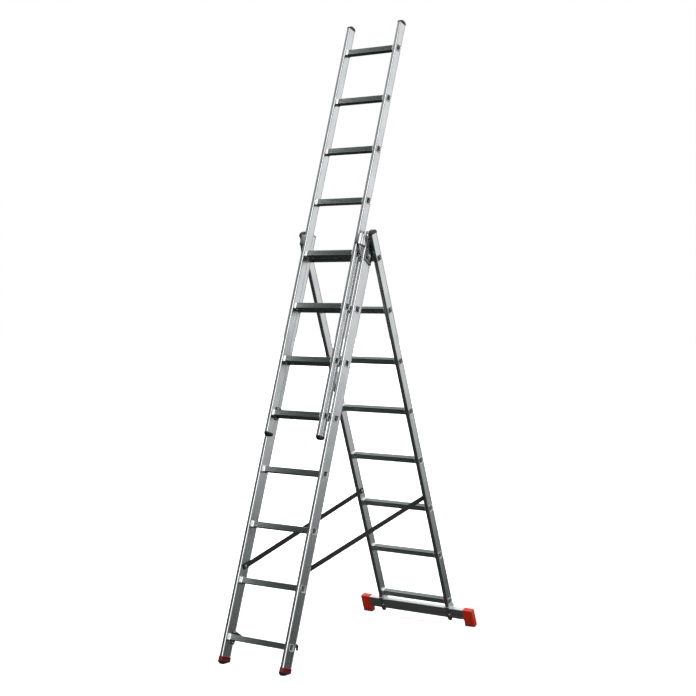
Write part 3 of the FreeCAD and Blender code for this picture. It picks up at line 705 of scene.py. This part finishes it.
class LADDER_OT_plugs(bpy.types.Operator):
    """Build the moulded plugs in the stiles' ends."""

    bl_idname = "ladder.plugs"
    bl_label = "Plugs"

    def execute(self, context):
        black = plastic("moulded_black_plastic", colours().plug, 0.38)
        grey = plastic("moulded_grey_plastic", "242727", 0.3)
        for node, section, up, shoulder, tone, slot in (
                ("top_upper_caps", "top", True, 0.12, black, "black_plastic"),
                ("top_lower_caps", "top", False, 0.12, black, "black_plastic"),
                ("front_upper_caps", "front", True, 0.1, black, "black_plastic"),
                ("rear_upper_caps", "rear", True, 0.1, grey, "grey_plastic")):
            right = plug(node, section, up, shoulder)
            made = piece(node.replace("caps", "plugs"), section + "_section",
                         together([right, mirror(right)]), section, tone, smooth=50.0)
            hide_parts(node)
        return {"FINISHED"}


class LADDER_OT_feet(bpy.types.Operator):
    """Build the two front feet, each with its sole."""

    bl_idname = "ladder.feet"
    bl_label = "Feet"

    def execute(self, context):
        red = plastic("moulded_red_plastic", colours().foot, 0.42)
        rubber = plastic("sole_rubber", colours().plug, 0.6)
        collar, sole = (level(shape, "front") for shape in front_foot())
        for side, change in SIDES:
            body = piece("front_foot_collar_" + side, "front_section",
                         change(collar), "front", red, smooth=50.0)
            under = piece("front_foot_sole_" + side, "front_section",
                          change(sole), "front", rubber, smooth=50.0)
            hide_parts("front_foot_" + side)
        return {"FINISHED"}


# ------------------------------------------------------------------ plates: hooks and hinge


def scaled(corners, up=0.0):
    """Corners in millimetres, as metres, lifted by a length."""
    return np.array(corners, float) * mm + np.array([0.0, up])


def hook(section):
    """A hook plate: two short arms behind the rung's collar and a mouth that drops over a rung."""
    front, back, roof, lip, reach, nose = {"top": (33, 65, 15, -8, 76, 24),
                                           "front": (35, 66.5, 4, -7, 80, 19)}[section]
    corners = [(5, 18.4), (18.3, 18.4), (18.3, -18.4), (10, -18.4), (10, -33), (front - 3, -33),
               (front, -27), (front, roof), (back, roof), (back, lip), (reach - 2, lip),
               (reach, lip + 4), (reach, nose), (27, 33), (5, 33)]
    radii = [3, 1, 1, 2, 6, 6, 5, 1.5, 1.5, 3, 4, 4, 9, 8, 6]
    outline = rounded_outline(scaled(corners), np.array(radii) * mm)
    start = INSIDE[section] - HOOK_PLATE
    return upright_plate(section + "_hook", outline, [], HOOK_PLATE, sizes().edge, start)


def front_hinge():
    """The hinge plate outside a front stile, pierced for the top tread's bead."""
    corners = [(-32, -24), (33, -43), (33, 72), (21, 90), (-23, 90), (-32, 80)]
    outline = rounded_outline(scaled(corners, TOP_RUNG), np.array([7, 9, 9, 9, 9, 7]) * mm)
    hole = rounded_outline(scaled([(-17.8, -17.8), (-17.8, 17.8), (17.8, 17.8), (17.8, -17.8)],
                                  TOP_RUNG), 3.5 * mm)
    return upright_plate("front_hinge", outline, [hole], HINGE_PLATE, sizes().edge, HALF["front"])


def ring_of(centre, radius, start=0.0, end=360.0, count=33):
    """Points round part of a circle; the angle runs anticlockwise from the back."""
    turn = np.radians(np.linspace(start, end, count))
    return np.stack([centre[0] + radius * np.cos(turn), centre[1] + radius * np.sin(turn)], -1)


def rear_hinge():
    """The hinge plate inside a rear stile, with the round ear that turns on the hinge stud."""
    pivot = np.array([-50.5 * mm, TOP_RUNG + 26 * mm])
    ear = ring_of(pivot, 16 * mm, 150, 290, 17)
    rest = scaled([(-22, 21), (19, 21), (19, 98), (11, 106), (-21, 106), (-29, 96)], TOP_RUNG)
    outline = rounded_outline(np.concatenate([ear, rest]), [0.5 * mm] * 17 + [9 * mm] * 6, 2)
    hole = ring_of(pivot, 6.05 * mm)[:-1][::-1]
    start = INSIDE["rear"] - HINGE_PLATE
    return upright_plate("rear_hinge", outline, [hole], HINGE_PLATE, sizes().edge, start)


class LADDER_OT_plates(bpy.types.Operator):
    """Build the hooks and the hinge plates."""

    bl_idname = "ladder.plates"
    bl_label = "Hooks and hinge plates"

    def execute(self, context):
        dark = finish("dark_coated_steel", coated_steel)
        bare = finish("bare_pressed_steel", zinc_plate, "bare_pressed_steel", "6F7575",
                      colours().bare)
        for name, section, shape, metal in (
                ("top_hook", "top", hook("top"), dark), ("front_hook", "front", hook("front"), dark),
                ("front_hinge", "front", front_hinge(), bare),
                ("rear_hinge", "rear", rear_hinge(), bare)):
            for side, change in SIDES:
                made = piece("%s_plate_%s" % (name, side), section + "_section",
                             change(shape), section, metal)
                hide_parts("%s_%s" % (name, side))
        return {"FINISHED"}


# ------------------------------------------------------------------ rivets, bolts and studs


def dome(radius, height, spot, start, direction):
    """A domed head on an X line: a short straight edge, then height * cos of the way out."""
    turn = np.linspace(0, 1, 7) * math.pi / 2 * 0.97
    rows = [(radius, 0.0)] + [(radius * math.cos(t), height * (0.25 + 0.75 * math.sin(t)))
                              for t in turn]
    return turned(rows, (start, *spot), direction, 20)


def bolt(radius, thick, height, spot, start, direction):
    """A washer and a six-sided head with a broken upper edge, on an X line."""
    washer = turned([(radius - 0.3 * mm, 0), (radius, 0.3 * mm), (radius, thick - 0.3 * mm),
                     (radius - 0.3 * mm, thick)], (start, *spot), direction, 28)
    flat = radius * 0.8
    head = turned([(flat, 0), (flat, height * 0.75), (flat * 0.9, height), (flat * 0.55, height),
                   (flat * 0.5, height * 0.85)],
                  (start + direction * thick, *spot), direction, 6)
    return together([washer, head])


def rod(radius, spot, start, end):
    """A plain shank on an X line."""
    return turned([(radius, 0), (radius, end - start)], (start, *spot), 1, 20)


def fasteners():
    """Right-hand fasteners of each section, by the CAD node that each set replaces."""
    spots = {"top": [(11, 25.5), (20, 25.5), (14, -25.5), (23, -25.5)],
             "front": [(12, 25.5), (24, 25.5), (16, -25.5), (28, -25.5)]}
    sets = {}
    for section in ("top", "front"):
        plate = INSIDE[section] - HOOK_PLATE
        sets[section + "_rivets"] = [dome(4 * mm, 2 * mm, (a * mm, b * mm), plate, -1)
                                     for a, b in spots[section]]
    face = HALF["front"] + HINGE_PLATE
    sets["front_rivets"] += [dome(4 * mm, 0.6 * mm, (a * mm, TOP_RUNG + b * mm), face, 1)
                             for a, b in ((-20, 30), (-20, 74), (16, 74), (26, -27))]
    plate = INSIDE["rear"] - HINGE_PLATE
    sets["rear_rivets"] = [dome(4 * mm, 0.6 * mm, (a * mm, TOP_RUNG + b * mm), plate, -1)
                           for a, b in ((-12, 40), (10, 40), (-12, 88), (10, 88))]
    for section, up in (("front", 350 * mm), ("rear", 624 * mm)):
        inside = INSIDE[section]
        sets[section + "_bolts"] = [
            rod(3.5 * mm, (0, up), inside - 4.7 * mm, inside + 1.0 * mm),
            bolt(8 * mm, 0.9 * mm, 1.6 * mm, (0, up), inside - 4.5 * mm, -1)]
    sets["front_bolts"] += [bolt(5 * mm, 0.8 * mm, 2.2 * mm, (-16 * mm, GUIDE_MIDDLE + b * mm),
                                 INSIDE["front"], -1) for b in (-12, 14)]
    across = HALF["rear"] - THICK["rear"] / 2
    for start, direction in ((-18 * mm, -1), (18 * mm, 1)):
        along_x = bolt(6.5 * mm, 1.1 * mm, 3.4 * mm, (across, -80 * mm), start, direction)
        sets["rear_bolts"].append(turn_axes(along_x, (1, 0, 2)))
    return sets


def hinge_stud():
    """A square plug in the top tread's end, its shank through the ear, and a washer and nut."""
    half, nut = HALF["front"], INSIDE["rear"] + 0.3 * mm
    plug_rows = [(half - 26 * mm, 0, TOP_RUNG, 12.9 * mm, 12.4 * mm, 1.5 * mm, 0),
                 (half - 0.9 * mm, 0, TOP_RUNG, 12.9 * mm, 12.4 * mm, 1.5 * mm, 0),
                 (half - 0.2 * mm, 0, TOP_RUNG, 12.2 * mm, 11.7 * mm, 1.2 * mm, 0)]
    return together([loft(rounded_profile(0, 3), plug_rows),
                     rod(6 * mm, (0, TOP_RUNG), half - 1 * mm, nut + 4.4 * mm),
                     bolt(10.5 * mm, 1.2 * mm, 3.2 * mm, (0, TOP_RUNG), nut, 1)])


class LADDER_OT_fasteners(bpy.types.Operator):
    """Build the rivets, the bolts and the hinge studs."""

    bl_idname = "ladder.fasteners"
    bl_label = "Rivets, bolts and studs"

    def execute(self, context):
        zinc = finish("zinc_plated_steel", zinc_plate)
        sets = fasteners()
        sets["hinge_studs"] = [hinge_stud()]
        for node, shapes in sets.items():
            section = "front" if node == "hinge_studs" else node.split("_")[0]
            right = together(shapes)
            made = piece(node + "_made", section + "_section",
                         together([right, mirror(right)]), section, zinc)
            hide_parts(node)
        return {"FINISHED"}


# ------------------------------------------------------------------ guides


class LADDER_OT_guides(bpy.types.Operator):
    """Build the two grooved guides that the top section runs in."""

    bl_idname = "ladder.guides"
    bl_label = "Guides"

    def execute(self, context):
        corners = [(174, -33), (174, -75), (161, -75), (161, -78), (186, -78), (192, -75),
                   (194, -69), (190.5, -67.5), (190.5, -64), (195.5, -62.5), (196.5, -56),
                   (192.5, -54.5), (192.5, -51), (197.5, -49.5), (198.5, -44), (200, -33)]
        outline = rounded_outline(scaled(corners), [0.3 * mm, 0.8 * mm, 0.8 * mm, 1 * mm, 3 * mm]
                                  + [1.2 * mm] * 10 + [0.3 * mm], 3)
        points, faces = stamped("guide", outline, [], GUIDE_LENGTH, sizes().edge)
        channel = (points + np.array([0, 0, GUIDE_MIDDLE - GUIDE_LENGTH / 2]), faces)
        web = rounded_outline(scaled([(-33, -85), (-33, -26), (-75, -26), (-71, -35), (-45, -77)],
                                     GUIDE_MIDDLE), 2 * mm)
        gusset = upright_plate("gusset", web, [], 5 * mm, sizes().edge, 182 * mm)
        whole = together([channel, gusset])
        bright = finish("bright_aluminium", mill_aluminium, "front", "bright_aluminium", "DCDEDF", 0.2)
        for side, change in SIDES:
            made = piece("guide_extrusion_" + side, "front_section",
                         change(whole), "front", bright)
            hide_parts("guide_" + side)
        return {"FINISHED"}


# ------------------------------------------------------------------ stabiliser


def stabiliser_tube():
    """The rectangular tube across the feet of the rear section, with two shallow drawn lines."""
    end = 345 * mm
    rows = [(x, 0, -69 * mm, 15 * mm, 29 * mm, 2.5 * mm, 0.35 * mm) for x in (-end, end)]
    return loft(rounded_profile(2, 4), rows)


def end_cap():
    """An orange end cap: a rolled inner rim, three grip grooves and a rounded closed end."""
    deep, tall = 17.4 * mm, 50 * mm
    middle_up = -40 * mm + 2.4 * mm - tall
    rows = [(311.5, -2.4), (311.5, 0.2), (312.3, 0.9), (317.0, 0.9), (318.2, 0.0)]
    for groove in (328, 338, 348):
        rows += [(groove - 1.6, 0.0), (groove - 0.8, -0.9), (groove + 0.8, -0.9), (groove + 1.6, 0.0)]
    rows += [(363.0, 0.0), (365.4, -0.6), (367.0, -1.8), (368.0, -3.6)]
    stations = [(x * mm, 0, middle_up, deep + g * mm, tall + g * mm, (4.0 + 0.5 * g) * mm, 0)
                for x, g in rows]
    return loft(rounded_profile(0, 5), stations)


def saddle():
    """A pressed saddle over the tube: a flat seat with two long rounded ears."""
    across = HALF["rear"] - THICK["rear"] / 2
    seat = loft(rounded_profile(0, 4), [
        (x, 0, -38 * mm, 26 * mm - g, 2.6 * mm - g, 1.4 * mm, 0)
        for x, g in ((across - 15.6 * mm, 0.8 * mm), (across - 15 * mm, 0), (across + 15 * mm, 0),
                     (across + 15.6 * mm, 0.8 * mm))])
    low = ring_of((across, -98 * mm), 15 * mm, 180, 360, 19)
    ear = np.concatenate([low, [[across + 15 * mm, -40 * mm], [across + 11 * mm, -36 * mm],
                                [across - 11 * mm, -36 * mm], [across - 15 * mm, -40 * mm]]])
    shapes = [seat]
    for start in (-18.2 * mm, 15.2 * mm):
        points, faces = turn_axes(stamped("ear", ear, [], 3 * mm, sizes().edge), (0, 2, 1))
        shapes.append((points + np.array([0, start, 0]), faces))
    collar_rows = [(-36 * mm, 1.4), (-35.2 * mm, 2.2), (-27 * mm, 2.2), (-26.2 * mm, 1.0)]
    collar = loft(rounded_profile(0, 4), [
        (up, across, 0, THICK["rear"] / 2 + g * mm, 25 * mm + g * mm, 3.0 * mm, 0)
        for up, g in collar_rows])
    shapes.append(turn_axes(collar, (1, 2, 0)))
    return together(shapes)


class LADDER_OT_stabiliser(bpy.types.Operator):
    """Build the stabiliser's tube, end caps and saddles."""

    bl_idname = "ladder.stabiliser"
    bl_label = "Stabiliser"

    def execute(self, context):
        tube = piece("stabiliser_tube", "rear_section", stabiliser_tube(), "rear",
                     finish("tube_aluminium", tread_aluminium, "tube_aluminium", "D6D9D8"))
        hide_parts("stabiliser_bar")
        right = saddle()
        bracket = piece("stabiliser_brackets", "rear_section",
                        together([right, mirror(right)]), "rear",
                        finish("zinc_plated_steel", zinc_plate))
        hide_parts("stabiliser_saddles")
        orange = plastic("moulded_orange_plastic", colours().cap, 0.5)
        rubber = plastic("sole_rubber", colours().plug, 0.6)
        cap = level(end_cap(), "rear", low=8 * mm)
        sole = level(end_cap(), "rear", high=8 * mm)
        for side, change in SIDES:
            made = piece("end_cap_" + side, "rear_section", change(cap), "rear",
                         orange, smooth=50.0)
            piece("end_cap_sole_" + side, "rear_section",
                  change(sole), "rear", rubber, smooth=50.0)
            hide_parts("stabiliser_cap_" + side)
        return {"FINISHED"}


# ------------------------------------------------------------------ spreader straps


def strap():
    """The right strap's middle, its directions along, across and through, and its length."""
    points = vertices(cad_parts["strap_right"].data)
    centre = points.mean(0)
    _, _, axes = np.linalg.svd(points - centre, full_matrices=False)
    along = axes[0] * np.sign(axes[0][1])
    own = points - centre
    reach = own @ along
    middle_along = (reach.min() + reach.max()) / 2
    long = reach.max() - reach.min()
    wide_axis = np.cross(along, [1.0, 0, 0])
    wide_axis /= np.linalg.norm(wide_axis)
    thin_axis = np.cross(wide_axis, along)
    across = own @ wide_axis
    thick = own @ thin_axis
    centre = (centre + along * middle_along + wide_axis * (across.min() + across.max()) / 2
              + thin_axis * (thick.min() + thick.max()) / 2)
    return centre, along, wide_axis, thin_axis, long


class LADDER_OT_straps(bpy.types.Operator):
    """Build the two spreader straps."""

    bl_idname = "ladder.straps"
    bl_label = "Straps"

    def execute(self, context):
        cloth = finish("woven_webbing", woven_webbing)
        centre, along, wide_axis, thin_axis, long = strap()
        ends = np.linspace(0, 54 * mm, 46) / long - 0.5
        t = np.concatenate([ends, np.linspace(ends[-1], -ends[-1], 62)[1:-1], -ends[::-1]])
        half_wide, half_thick = 13.5 * mm, 0.9 * mm
        section = np.array([(-1, -0.4), (-0.96, -1), (-0.5, -1), (0, -1), (0.5, -1), (0.96, -1),
                            (1, -0.4), (1, 0.4), (0.96, 1), (0.5, 1), (0, 1), (-0.5, 1),
                            (-0.96, 1), (-1, 0.4)])
        folded = np.clip((np.abs(t) * long - (long / 2 - 52 * mm)) / (1.2 * mm), 0, 1)
        stitch = 0.5 + 0.5 * np.cos(np.clip(np.abs(t) * long - (long / 2 - 47 * mm), 0, 24 * mm)
                                    / (6 * mm) * 2 * math.pi)
        thick = half_thick * (1 + folded * (0.75 - 0.25 * stitch))
        rib = (section[:, 0:1] * half_wide * wide_axis)[None] + (
            section[:, 1:2] * thin_axis)[None] * thick[:, None, None]
        points = (centre + t[:, None, None] * long * along + rib).reshape(-1, 3)
        count, around = len(t), len(section)
        faces = skin(count, around, turn=-1)
        uv = np.stack([np.tile(section[:, 0] * half_wide, count),
                       np.repeat(t * long, around)], -1)
        for side, change in SIDES:
            made = mesh_object("strap_webbing_" + side, *change((points, faces)), cloth, 40, uv=uv)
            start, end = (change((centre + along * long * part, []))[0] for part in (-0.45, 0.45))
            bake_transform(made)
            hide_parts("strap_" + side)
        return {"FINISHED"}


# ------------------------------------------------------------------ stage


def stage_material():
    """Matt white studio floor."""
    material, tree = new_material("studio_floor")
    paper = add(tree, "ShaderNodeBsdfDiffuse", {"Color": linear("F4F4F4")})
    add(tree, "ShaderNodeOutputMaterial", {"Surface": paper.outputs["BSDF"]})
    return material


def studio_world(tree):
    """White backdrop for the camera; a studio of dark walls and pale panels for reflections.

    Brightness is a sum of panels, each a smooth step of how near a direction is to the panel's
    middle, and of a side wall that fades from pale above the horizon to dark below it.
    """
    tree.nodes.clear()
    out = add(tree, "ShaderNodeOutputWorld")
    way = add(tree, "ShaderNodeTexCoord").outputs["Generated"]
    height = add(tree, "ShaderNodeSeparateXYZ", {"Vector": way}).outputs["Z"]

    def step(value, start, end, high):
        return add(tree, "ShaderNodeMapRange",
                   {"Value": value, "From Min": start, "From Max": end, "To Min": 0.0,
                    "To Max": high}, interpolation_type="SMOOTHSTEP").outputs["Result"]

    def panel(direction, start, end, high):
        near = add(tree, "ShaderNodeVectorMath", {0: way, 1: direction}, operation="DOT_PRODUCT")
        return step(near.outputs["Value"], start, end, high)

    def combine(operation, first, second):
        return add(tree, "ShaderNodeMath", {0: first, 1: second}, operation=operation).outputs[0]

    side = combine("MULTIPLY", panel((0.65, 0.76, 0.0), 0.3, 0.8, 1.0), step(height, -0.2, 0.0, 0.9))
    left = combine("MULTIPLY", panel((-0.62, -0.5, 0.6), 0.82, 0.97, 0.24), step(height, 0.3, 0.5, 1.0))
    total = combine("ADD", 0.03, side)
    for light in (left, step(height, 0.58, 0.8, 0.9), panel((0.12, -0.9, 0.42), 0.88, 0.96, 3.2),
                  panel((-0.62, 0.46, 0.64), 0.84, 0.95, 0.9),
                  panel((-0.64, 0.76, 0.0), 0.9, 0.97, 0.3)):
        total = combine("ADD", total, light)
    tint = add(tree, "ShaderNodeMix", {"Factor": total, "A": (0.9, 1.0, 0.97, 1.0),
                                       "B": (1.0, 1.0, 1.0, 1.0)}, data_type="RGBA")
    studio = add(tree, "ShaderNodeBackground", {"Strength": total})
    tree.links.new(tint.outputs[2], studio.inputs["Color"])
    white = add(tree, "ShaderNodeBackground", {"Color": (1, 1, 1, 1), "Strength": 1.0})
    seen = add(tree, "ShaderNodeLightPath")
    both = add(tree, "ShaderNodeMixShader", {0: seen.outputs["Is Camera Ray"],
                                             1: studio.outputs[0], 2: white.outputs[0]})
    tree.links.new(both.outputs[0], out.inputs["Surface"])


def overhead_light():
    """A very soft light from above that lights matt surfaces and the floor evenly."""
    light = bpy.data.lights.new("overhead", "SUN")
    light.angle = math.radians(110)
    light.energy = 4.2
    lamp = bpy.data.objects.new("overhead", light)
    lamp.rotation_euler = (math.radians(12), math.radians(8), 0)
    lamp.visible_glossy = False
    bpy.context.scene.collection.objects.link(lamp)


class LADDER_OT_stage(bpy.types.Operator):
    """Set the floor, the lights and the camera."""

    bl_idname = "ladder.stage"
    bl_label = "Stage"

    def execute(self, context):
        scene = context.scene
        scene.view_settings.view_transform = "Standard"
        mesh = bpy.data.meshes.new("studio_floor")
        mesh.from_pydata([(-40, -40, 0), (40, -40, 0), (40, 40, 0), (-40, 40, 0)], [], [(0, 1, 2, 3)])
        mesh.materials.append(stage_material())
        floor = bpy.data.objects.new("studio_floor", mesh)
        floor.visible_glossy = False
        floor.visible_diffuse = False
        scene.collection.objects.link(floor)
        world = bpy.data.worlds.new("studio")
        scene.world = world
        world.use_nodes = True
        studio_world(world.node_tree)
        overhead_light()
        lens = bpy.data.cameras.new("camera")
        lens.sensor_width = 36.0
        lens.lens = 78.46
        lens.clip_end = 200.0
        camera = bpy.data.objects.new("camera", lens)
        camera.location = (4.6646, -6.2142, 1.8118)
        camera.rotation_euler = (math.radians(90 - 2.166), 0, math.radians(36.66))
        scene.collection.objects.link(camera)
        scene.camera = camera
        return {"FINISHED"}


# ------------------------------------------------------------------ panel and registration

OPERATORS = (LADDER_OT_stiles, LADDER_OT_treads, LADDER_OT_plugs, LADDER_OT_feet,
             LADDER_OT_plates, LADDER_OT_fasteners, LADDER_OT_guides, LADDER_OT_stabiliser,
             LADDER_OT_straps, LADDER_OT_stage)


class LADDER_PT_panel(bpy.types.Panel):
    """Ladder pieces in the sidebar."""

    bl_label = "Combination ladder"
    bl_idname = "LADDER_PT_panel"
    bl_space_type = "VIEW_3D"
    bl_region_type = "UI"
    bl_category = "Ladder"

    def draw(self, context):
        column = self.layout.column()
        for operator in OPERATORS:
            column.operator(operator.bl_idname)


CLASSES = (LadderSizes, LadderColours, *OPERATORS, LADDER_PT_panel)


def register():
    for cls in CLASSES:
        bpy.utils.register_class(cls)
    bpy.types.Scene.ladder_sizes = bpy.props.PointerProperty(type=LadderSizes)
    bpy.types.Scene.ladder_colours = bpy.props.PointerProperty(type=LadderColours)


def unregister():
    del bpy.types.Scene.ladder_sizes
    del bpy.types.Scene.ladder_colours
    for cls in reversed(CLASSES):
        bpy.utils.unregister_class(cls)


def main():
    register()
    for operator in OPERATORS:
        group, name = operator.bl_idname.split(".")
        getattr(getattr(bpy.ops, group), name)()
    bpy.context.view_layer.update()


if __name__ == "__main__":
    main()
